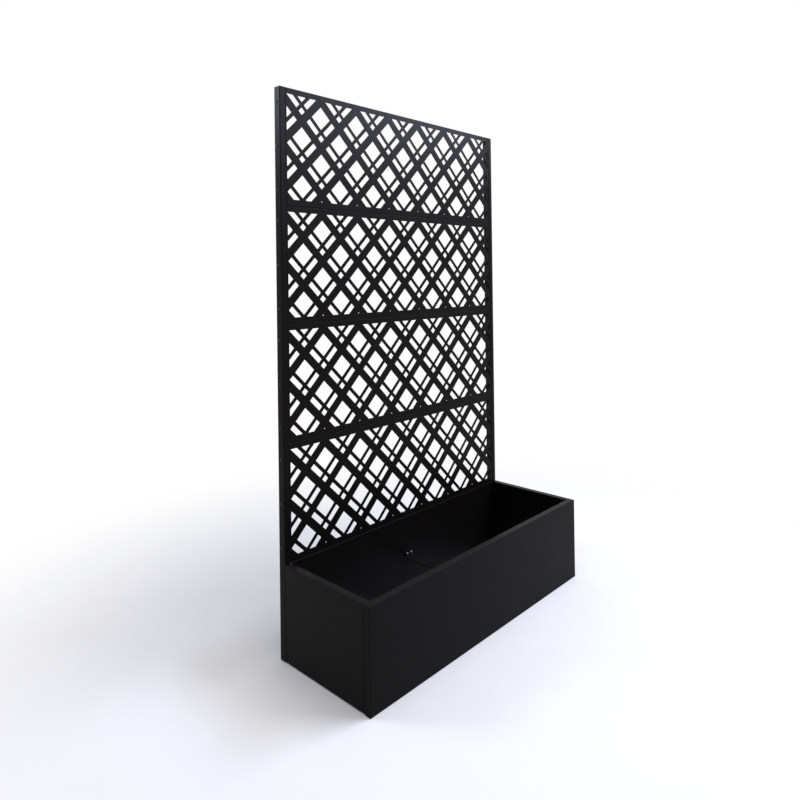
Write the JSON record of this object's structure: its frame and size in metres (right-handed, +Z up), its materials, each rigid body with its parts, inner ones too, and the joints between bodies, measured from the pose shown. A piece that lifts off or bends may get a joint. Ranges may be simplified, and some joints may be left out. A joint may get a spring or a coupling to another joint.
{
  "type": "planter with trellis",
  "caption": "Long folded sheet-metal planter box with two tubular back posts that carry lattice trellis panels; flat rim, drained floor, free-standing.",
  "frame": {"origin": "middle of the footprint, on the ground", "axes": "+X to the right along the box, +Y from the front to the trellis at the back, +Z up"},
  "size_m": [1.1254, 0.422, 1.828],
  "materials": {
    "powder_coat": "satin black powder coat, fine texture",
    "black_plastic": "matte moulded",
    "black_steel": "black zinc-plated fasteners",
    "zinc_steel": "bright zinc",
    "galvanised_steel": "hot-dip galvanised"
  },
  "bodies": {
    "root": {"front_panel": "powder_coat", "left_end_panel": "powder_coat", "right_end_panel": "powder_coat", "back_panel": "powder_coat", "left_post": "powder_coat", "right_post": "powder_coat", "trellis_panel_1": "powder_coat", "trellis_panel_2": "powder_coat", "trellis_panel_3": "powder_coat", "trellis_panel_4": "powder_coat", "center_brace": "powder_coat", "left_post_cap": "black_plastic", "right_post_cap": "black_plastic", "left_post_foot": "black_plastic", "right_post_foot": "black_plastic", "left_post_screws": "black_steel", "right_post_screws": "black_steel", "left_post_nuts": "black_steel", "right_post_nuts": "black_steel", "panel_joint_bolts": "black_steel", "panel_joint_nuts": "black_steel", "corner_bolts": "black_steel", "corner_nuts": "black_steel", "end_panel_screws": "black_steel", "back_panel_screws": "black_steel", "rail_rivets": "zinc_steel", "brace_studs": "zinc_steel", "brace_bolts": "zinc_steel", "brace_nuts": "zinc_steel", "floor_panel": "galvanised_steel", "floor_rail_front": "galvanised_steel", "floor_rail_back": "galvanised_steel"}
  },
  "joints": []
}
